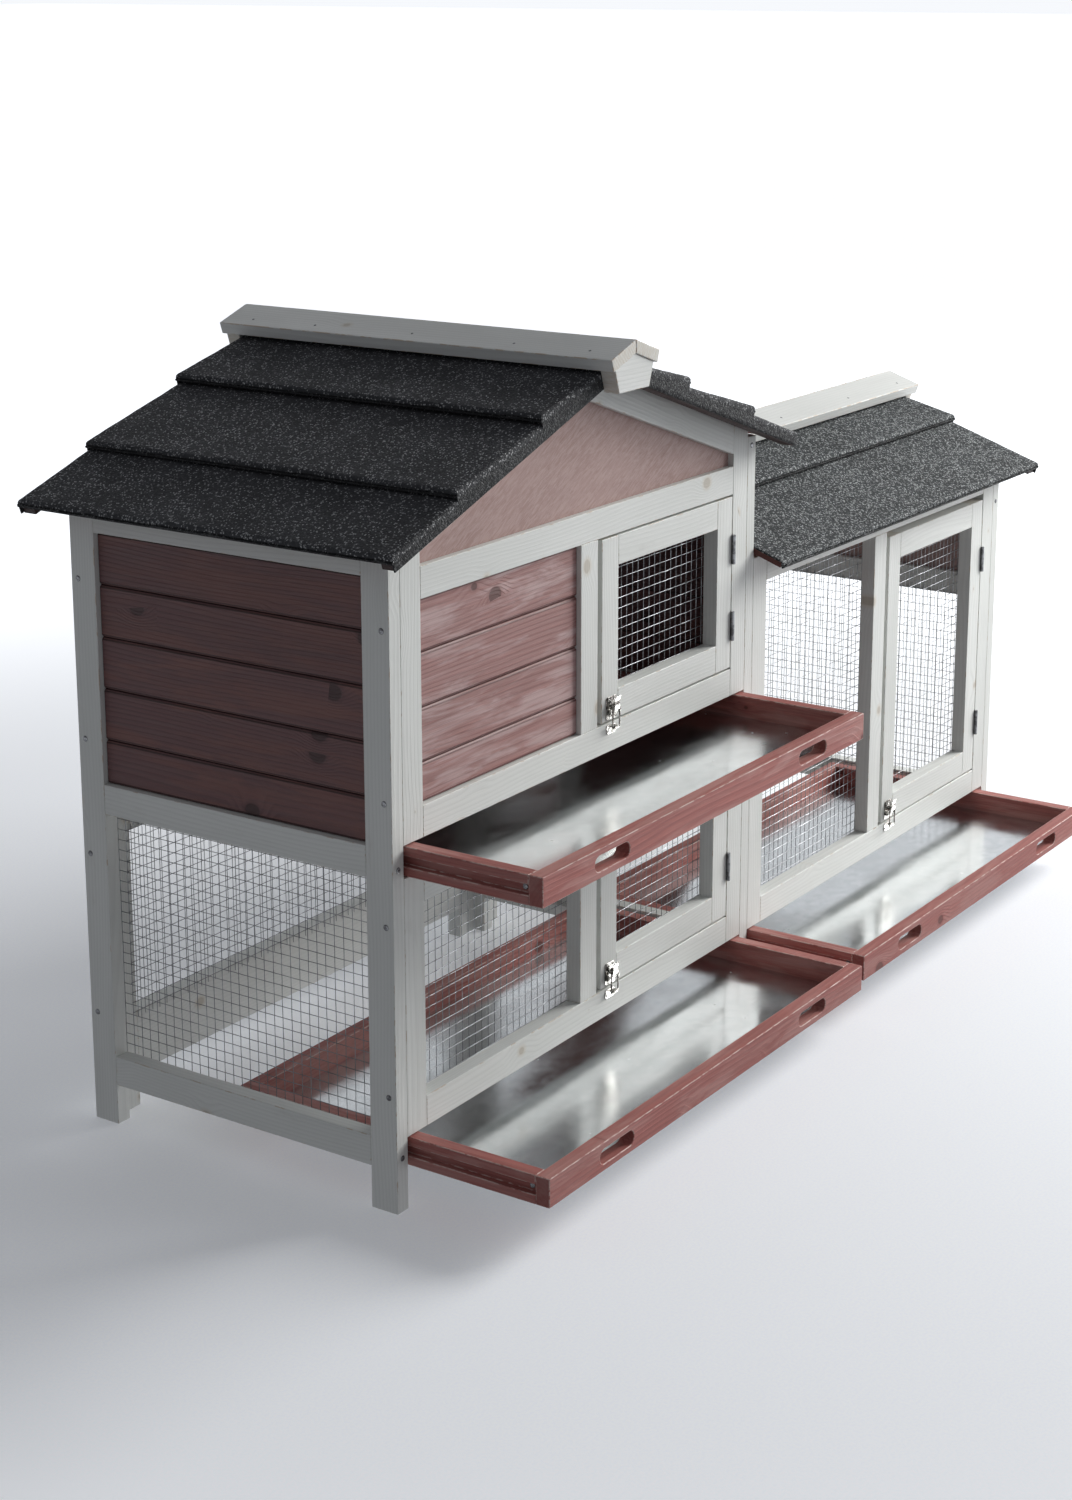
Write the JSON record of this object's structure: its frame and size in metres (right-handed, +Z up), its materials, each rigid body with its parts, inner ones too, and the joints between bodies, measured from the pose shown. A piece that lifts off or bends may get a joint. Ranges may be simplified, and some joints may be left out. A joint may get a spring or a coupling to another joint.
{
  "type": "rabbit hutch",
  "caption": "Two-storey gabled rabbit hutch with a lower mesh run beside it, hinged mesh doors, toggle latches, a ramp and pull-out trays",
  "frame": {"origin": "on the floor under the middle of the hutch's bounding box, with the trays pulled out as they are at rest", "axes": "+X runs along the front from the house to the run, +Y runs from the front to the back, +Z is up"},
  "size_m": [1.6518, 0.694, 0.9266],
  "materials": {
    "white_paint": "semi-matt white paint over softwood, grain faintly visible",
    "red_stain": "matt red-brown stain on softwood",
    "dark_stain": "matt dark red-brown stain on softwood",
    "stained_ply": "pale red-brown stained plywood with fine grain",
    "roof_felt": "mineral-surfaced bitumen felt, charcoal with light grit",
    "galvanised_wire": "galvanised welded wire",
    "galvanised_sheet": "smooth bright galvanised sheet",
    "nickel": "bright nickel-plated steel"
  },
  "bodies": {
    "hutch": {"left_panel_frame": "white_paint", "left_planks": "dark_stain", "left_mesh": "galvanised_wire", "right_panel_frame": "white_paint", "right_planks": "dark_stain", "upper_front_frame": "white_paint", "upper_front_planks": "red_stain", "front_gable_board": "stained_ply", "lower_front_frame": "white_paint", "lower_front_mesh": "galvanised_wire", "house_back_frame": "white_paint", "back_planks": "dark_stain", "back_gable_board": "stained_ply", "house_back_mesh": "galvanised_wire", "house_roof_boards": "dark_stain", "house_roof_felt": "roof_felt", "house_ridge_cap": "white_paint", "ridge_blocks": "white_paint", "roof_beams": "dark_stain", "run_front_frame": "white_paint", "run_front_mesh": "galvanised_wire", "run_back_frame": "white_paint", "run_back_mesh": "galvanised_wire", "run_side_frame": "white_paint", "run_side_mesh": "galvanised_wire", "run_gable_board": "stained_ply", "run_roof_boards": "dark_stain", "run_roof_felt": "roof_felt", "run_ridge_cap": "white_paint", "ramp": "dark_stain", "tray_runners": "white_paint", "screws": "nickel", "hinge_leaves": "nickel", "hinge_pins": "nickel", "latch_catches": "nickel"},
    "upper_door": {"upper_door_frame": "white_paint", "upper_door_mesh": "galvanised_wire", "upper_door_hinges": "nickel", "upper_latch_base": "nickel"},
    "upper_lever": {"upper_latch_lever": "nickel"},
    "upper_bail": {"upper_latch_bail": "nickel"},
    "lower_door": {"lower_door_frame": "white_paint", "lower_door_mesh": "galvanised_wire", "lower_door_hinges": "nickel", "lower_latch_base": "nickel"},
    "lower_lever": {"lower_latch_lever": "nickel"},
    "lower_bail": {"lower_latch_bail": "nickel"},
    "run_door": {"run_door_frame": "white_paint", "run_door_mesh": "galvanised_wire", "run_door_hinges": "nickel", "run_latch_base": "nickel"},
    "run_lever": {"run_latch_lever": "nickel"},
    "run_bail": {"run_latch_bail": "nickel"},
    "upper_tray": {"upper_tray_frame": "red_stain", "upper_tray_sheet": "galvanised_sheet"},
    "lower_tray": {"lower_tray_frame": "red_stain", "lower_tray_sheet": "galvanised_sheet"},
    "run_tray": {"run_tray_frame": "red_stain", "run_tray_sheet": "galvanised_sheet"}
  },
  "joints": [
    {"name": "upper_door_swing", "type": "hinge", "parent": "hutch", "child": "upper_door", "pos_m": [-0.06589, -0.1656, 0.572], "axis": [0, 0, 1], "range_deg": [0, 110]},
    {"name": "upper_lever_turn", "type": "hinge", "parent": "upper_door", "child": "upper_lever", "pos_m": [-0.35109, -0.1685, 0.4735], "axis": [1, 0, 0], "range_deg": [0, 100]},
    {"name": "upper_bail_turn", "type": "hinge", "parent": "upper_lever", "child": "upper_bail", "pos_m": [-0.35109, -0.1709, 0.4785], "axis": [1, 0, 0], "range_deg": [-125, 0]},
    {"name": "lower_door_swing", "type": "hinge", "parent": "hutch", "child": "lower_door", "pos_m": [-0.06589, -0.1656, 0.235], "axis": [0, 0, 1], "range_deg": [0, 110]},
    {"name": "lower_lever_turn", "type": "hinge", "parent": "lower_door", "child": "lower_lever", "pos_m": [-0.35109, -0.1685, 0.1365], "axis": [1, 0, 0], "range_deg": [0, 100]},
    {"name": "lower_bail_turn", "type": "hinge", "parent": "lower_lever", "child": "lower_bail", "pos_m": [-0.35109, -0.1709, 0.1415], "axis": [1, 0, 0], "range_deg": [-125, 0]},
    {"name": "run_door_swing", "type": "hinge", "parent": "hutch", "child": "run_door", "pos_m": [0.69711, -0.1656, 0.33575], "axis": [0, 0, 1], "range_deg": [0, 110]},
    {"name": "run_lever_turn", "type": "hinge", "parent": "run_door", "child": "run_lever", "pos_m": [0.40391, -0.1685, 0.1365], "axis": [1, 0, 0], "range_deg": [0, 100]},
    {"name": "run_bail_turn", "type": "hinge", "parent": "run_lever", "child": "run_bail", "pos_m": [0.40391, -0.1709, 0.1415], "axis": [1, 0, 0], "range_deg": [-125, 0]},
    {"name": "upper_tray_slide", "type": "slide", "parent": "hutch", "child": "upper_tray", "axis": [0, -1, 0], "range_m": [-0.176, 0.13]},
    {"name": "lower_tray_slide", "type": "slide", "parent": "hutch", "child": "lower_tray", "axis": [0, -1, 0], "range_m": [-0.184, 0.13]},
    {"name": "run_tray_slide", "type": "slide", "parent": "hutch", "child": "run_tray", "axis": [0, -1, 0], "range_m": [-0.172, 0.13]}
  ],
  "couplings": [
    {"joint": "upper_bail_turn", "follows": "upper_lever_turn", "ratio": -1.25},
    {"joint": "lower_bail_turn", "follows": "lower_lever_turn", "ratio": -1.25},
    {"joint": "run_bail_turn", "follows": "run_lever_turn", "ratio": -1.25}
  ]
}
